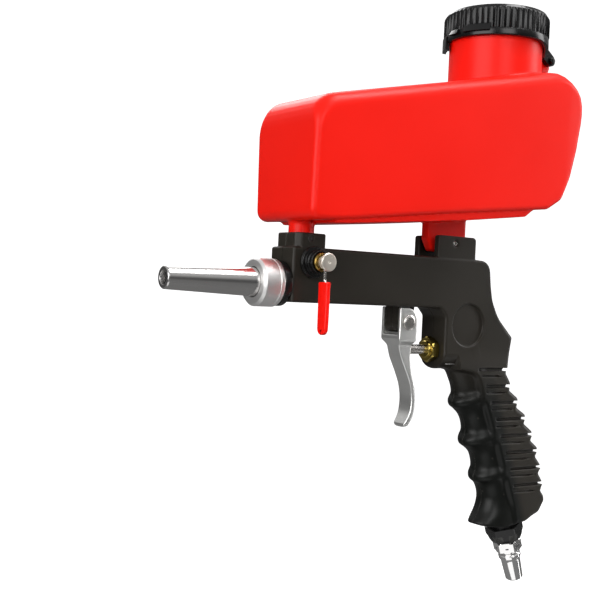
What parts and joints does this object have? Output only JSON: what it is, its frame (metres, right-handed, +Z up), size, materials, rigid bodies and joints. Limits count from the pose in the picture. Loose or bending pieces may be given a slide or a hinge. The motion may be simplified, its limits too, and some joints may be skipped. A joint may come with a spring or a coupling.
{
  "type": "gravity feed sandblasting gun",
  "caption": "Hand-held compressed-air sandblasting gun with a hinged-lid media hopper, trigger air valve, lever media valve, tapered nozzle and quick-connect air plug.",
  "frame": {"origin": "middle of the hand grip, on the mid-plane", "axes": "+Z up with the hopper on top, -X out of the nozzle, -Y to the side of the media valve lever"},
  "size_m": [0.2963, 0.082, 0.3825],
  "materials": {
    "body_black": "fine moulded texture, satin black",
    "hopper_red": "satin-gloss moulded red",
    "lid_black": "ribbed moulded black",
    "rubber_black": "soft black",
    "black_metal": "black oxide",
    "nozzle_steel": "turned and polished",
    "nut_aluminium": "fine turned",
    "trigger_aluminium": "satin cast",
    "brass": "bright",
    "steel": "bright zinc",
    "sleeve_red": "dipped vinyl",
    "plug_chrome": "bright plated"
  },
  "bodies": {
    "gun": {"body_left_shell": "body_black", "body_right_shell": "body_black", "hopper": "hopper_red", "lid_hinge_pin": "lid_black", "nozzle_gasket": "rubber_black", "jet_seal_ring": "rubber_black", "spout_seal": "rubber_black", "stem_o_ring": "rubber_black", "grip_air_tube": "rubber_black", "adaptor_washer": "rubber_black", "mixing_chamber": "black_metal", "media_valve_gland": "black_metal", "inlet_adaptor": "black_metal", "nozzle": "nozzle_steel", "nozzle_nut": "nut_aluminium", "valve_block": "nut_aluminium", "air_jet": "brass", "media_packing_nut": "brass", "valve_gland_nut": "brass", "valve_seat": "brass", "valve_end_plug": "brass", "air_pipe": "steel", "spout_grub_screw": "steel", "hopper_rear_pin": "steel", "trigger_pin": "steel", "trigger_pin_clip": "steel", "valve_spring": "steel", "body_screw_1": "steel", "body_screw_2": "steel", "body_screw_3": "steel", "body_screw_4": "steel", "body_screw_5": "steel", "body_screw_6": "steel", "air_plug": "plug_chrome"},
    "lid": {"hopper_lid": "lid_black", "lid_gasket": "rubber_black"},
    "trigger": {"trigger": "trigger_aluminium"},
    "valve": {"valve_stem": "steel", "valve_poppet": "rubber_black"},
    "media_valve": {"media_spindle": "steel", "lever_arm": "steel", "lever_sleeve": "sleeve_red"}
  },
  "joints": [
    {"name": "trigger_pull", "type": "hinge", "parent": "gun", "child": "trigger", "pos_m": [-0.081, 0, 0.0745], "axis": [0, -1, 0], "range_deg": [0, 13], "stiffness_Nm_per_rad": 0.6, "springref_deg": -11.46},
    {"name": "valve_stem_slide", "type": "slide", "parent": "gun", "child": "valve", "axis": [1, 0, 0], "range_m": [0, 0.0039], "deforming": ["valve_spring"]},
    {"name": "media_valve_turn", "type": "hinge", "parent": "gun", "child": "media_valve", "pos_m": [-0.1584, -0.02, 0.1079], "axis": [0, -1, 0], "range_deg": [0, 90]},
    {"name": "lid_swing", "type": "hinge", "parent": "gun", "child": "lid", "pos_m": [0.0375, 0, 0.2565], "axis": [0, 1, 0], "range_deg": [0, 160]}
  ],
  "couplings": [
    {"joint": "valve_stem_slide", "follows": "trigger_pull", "m_per_rad": 0.0171}
  ]
}
